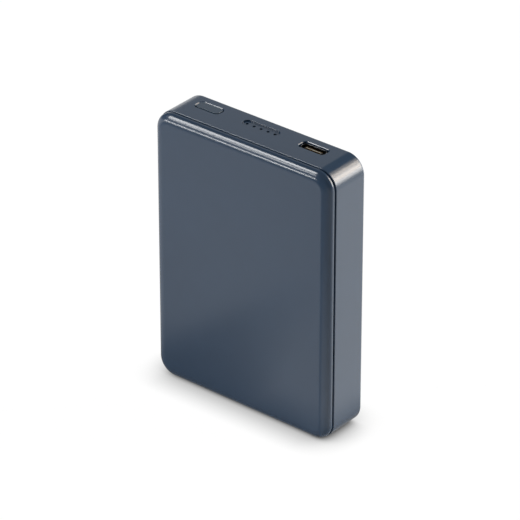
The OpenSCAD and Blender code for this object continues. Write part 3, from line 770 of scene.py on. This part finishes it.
def level_far(tree, where, across, along):
    """Painted reflection that is dim far off, with painted light on the right and at the back on the
    left.
    """
    far = tree.slope(tree.length(where), *FAR_EDGE, 1, FAR_LEVEL)
    far = tree.math("MAXIMUM", far, tree.slope(across, *LIT_FAR))
    back = tree.math("SUBTRACT", along, across)
    return tree.math("MAXIMUM", far, tree.slope(back, *LIT_BACK))


def level_around(tree, where):
    """Painted reflection levels by direction, with a painted lighter patch close to the part in one of
    them.
    """
    from_apex = tree.vector("SUBTRACT", where, (*SECTOR_APEX, 0))
    radial = tree.add("TexGradient", from_apex)
    radial.gradient_type = "RADIAL"
    turn = radial.outputs["Fac"]
    sector = tree.ramp(turn, [(place, (level, level, level, 1)) for place, level in SECTOR_STOPS])
    near = tree.slope(tree.length(from_apex), *NEAR_APEX)
    near = tree.math("MULTIPLY", near, tree.slope(turn, *NEAR_TURN))
    return tree.math("MAXIMUM", sector, near)


def painted_floor_reflection(tree):
    """The painted reflection: how bright the floor is painted, as an emission, for glossy surfaces."""
    where = tree.place()
    across, along, _ = tree.add("SeparateXYZ", where).outputs
    beside = level_beside(tree, where, across)
    level = tree.math("MULTIPLY", beside, level_far(tree, where, across, along))
    level = tree.math("MULTIPLY", level, level_around(tree, where))
    return tree.math("MULTIPLY", level, PAINTED_REFLECTION_LEVEL)


def painted_contact_shadow(tree):
    """Painted contact shadow: white emission that falls off by ambient occlusion where the part stands
    close over the floor.
    """
    near = tree.add("AmbientOcclusion", Distance=CONTACT_SHADE_REACH)
    near.samples = CONTACT_SAMPLES
    light = tree.math("POWER", near.outputs["AO"], CONTACT_SHADE_POWER)
    shade = tree.math("SUBTRACT", 1.0, light)
    across = tree.add("SeparateXYZ", tree.place()).outputs["X"]
    steep = tree.math("MAXIMUM", *(tree.slope(across, *end) for end in (STEEP_RIGHT, STEEP_LEFT)))
    lighter = tree.math("MULTIPLY_ADD", shade, CONTACT_SHADE_STEEP, -1.0)
    factor = tree.math("MULTIPLY_ADD", steep, lighter, 1.0)
    light = tree.math("SUBTRACT", 1.0, tree.math("MULTIPLY", shade, factor))
    return tree.math("MULTIPLY", light, FLOOR_SEEN_LIFT)


def floor_paper_and_painted_light():
    """Paper for light, a painted reflection with painted shade and light for glossy rays, and white
    with a painted contact shadow for the camera.
    """
    material = bpy.data.materials.new("floor_paper_and_painted_light")
    tree = Tree(material)
    tree.nodes.clear()
    path = tree.add("LightPath").outputs
    # The camera sees white emission with a painted contact shadow, over a faint real shadow on dim
    # paper
    seen = tree.add("AddShader", tree.matte(FLOOR_SEEN_ALBEDO), tree.glow(painted_contact_shadow(tree)))
    # Glossy rays meet the painted reflection: an emission patterned with painted shade and light
    painted_reflection = tree.glow(painted_floor_reflection(tree))
    shader = tree.mix(path["Is Glossy Ray"], tree.matte(FLOOR_ALBEDO), painted_reflection)
    direct = tree.math("MAXIMUM", path["Is Camera Ray"], path["Is Transmission Ray"])
    tree.add("OutputMaterial", Surface=tree.mix(direct, shader, seen.outputs["Shader"]))
    return material


def make_floor():
    bm = bmesh.new()
    half = FLOOR_SIZE / 2
    corners = ((-half, -half), (half, -half), (half, half), (-half, half))
    bm.faces.new([bm.verts.new((x, y, 0)) for x, y in corners])
    floor = make_object("floor", bm)
    floor.data.materials.append(floor_paper_and_painted_light())


# Lights and camera

WORLD_LIGHT = 0.15

LIGHT_DISTANCE = 1.3
CENTRE = Vector((0, 0, CASE_H / 2)) * MM
WHITE = (1.0, 1.0, 1.0)
WARM = (1.0, 0.89, 0.77)
FAINTLY_WARM = (1.0, 0.97, 0.93)

# Name, direction from the part, width and height in metres, brightness in a mirror, and colour
SOFTBOXES = (
    ("front_left_box", (-0.57, -0.53, 0.63), 0.28, 0.6, 13.5, WHITE),
    ("front_left_lower", (-0.5465, -0.745, 0.383), 0.24, 0.15, 11.0, WHITE),
    ("horizon_strip", (-0.635, -0.7725, 0.006), 0.537, 0.08, 22.0, WHITE),
    ("back_right_foot", (0.74, 0.672, 0.035), 0.36, 0.16, 5.0, FAINTLY_WARM),
    ("back_right_low", (0.722, 0.672, 0.179), 0.36, 0.22, 10.5, FAINTLY_WARM),
    ("back_right_core", (0.65, 0.672, 0.355), 0.36, 0.275, 13.0, WARM),
    ("back_right_upper", (0.5, 0.672, 0.547), 0.36, 0.29, 8.0, WARM),
    ("back_right_top", (0.353, 0.672, 0.651), 0.36, 0.36, 3.0, WARM),
    ("back_left_panel", (-0.657, 0.635, 0.407), 0.65, 0.48, 0.4, WHITE),
    ("back_left_low", (-0.7, 0.7, 0.12), 0.8, 0.3, 0.95, WHITE),
    ("back_fill", (0.42, 0.87, 0.25), 0.8, 0.8, 4.0, WHITE),
)

CAMERA_AZIMUTH, CAMERA_ELEVATION = math.radians(39.3), math.radians(30.06)
CAMERA_DISTANCE = 1.1
CAMERA_LENS, CAMERA_SENSOR = 258.9, 36.0
CAMERA_TARGET = Vector((0.69, 0, 47.83)) * MM


def make_world():
    """A dim room, which is white where the camera sees past the floor."""
    world = bpy.data.worlds.new("studio")
    tree = Tree(world)
    seen = tree.add("LightPath").outputs["Is Camera Ray"]
    level = tree.slope(seen, 0, 1, WORLD_LIGHT)
    tree.fill(tree.nodes["Background"], Color=(1, 1, 1, 1), Strength=level)
    bpy.context.scene.world = world


def make_softbox(name, towards, width, height, radiance, colour):
    """A flat light facing the part, with the brightness that a mirror would show."""
    data = bpy.data.lights.new(name, "AREA")
    data.shape = "RECTANGLE"
    data.size, data.size_y = width, height
    data.energy = radiance * math.pi * width * height
    data.color = colour
    lamp = bpy.data.objects.new(name, data)
    direction = Vector(towards).normalized()
    lamp.location = CENTRE + direction * LIGHT_DISTANCE
    lamp.rotation_euler = direction.to_track_quat("Z", "Y").to_euler()
    lamp.visible_camera = False
    bpy.context.scene.collection.objects.link(lamp)


def make_camera():
    data = bpy.data.cameras.new("camera")
    data.lens = CAMERA_LENS
    data.sensor_fit = "HORIZONTAL"
    data.sensor_width = CAMERA_SENSOR
    camera = bpy.data.objects.new("camera", data)
    level = math.cos(CAMERA_ELEVATION)
    back = Vector((
        math.sin(CAMERA_AZIMUTH) * level,
        -math.cos(CAMERA_AZIMUTH) * level,
        math.sin(CAMERA_ELEVATION),
    ))
    camera.location = CAMERA_TARGET + back * CAMERA_DISTANCE
    camera.rotation_euler = back.to_track_quat("Z", "Y").to_euler()
    bpy.context.scene.collection.objects.link(camera)
    bpy.context.scene.camera = camera


# The scene: each piece with its body, its slot and the CAD nodes that it stands for

PIECES = (
    (make_rear_shell, "case", "case_slate", "rear_shell"),
    (make_front_cover, "case", "case_slate", "front_cover"),
    (make_button, "button", "button_slate", "power_button"),
    (make_light_guide, "case", "light_guide_clear", "light_guide"),
    (make_socket_shell, "case", "socket_steel", "usb_socket_shell"),
    (make_socket_core, "case", "black_moulding", "usb_socket_core"),
    (make_tongue_plate, "case", "plunger_ivory"),
)

MATERIALS = make_materials()
dress_cad_nodes(MATERIALS)
for make, body, slot, *nodes in PIECES:
    dress(make(), body, slot, MATERIALS[slot], *nodes)

make_floor()
make_world()
for box in SOFTBOXES:
    make_softbox(*box)
make_camera()
bpy.context.scene.view_settings.view_transform = "Standard"
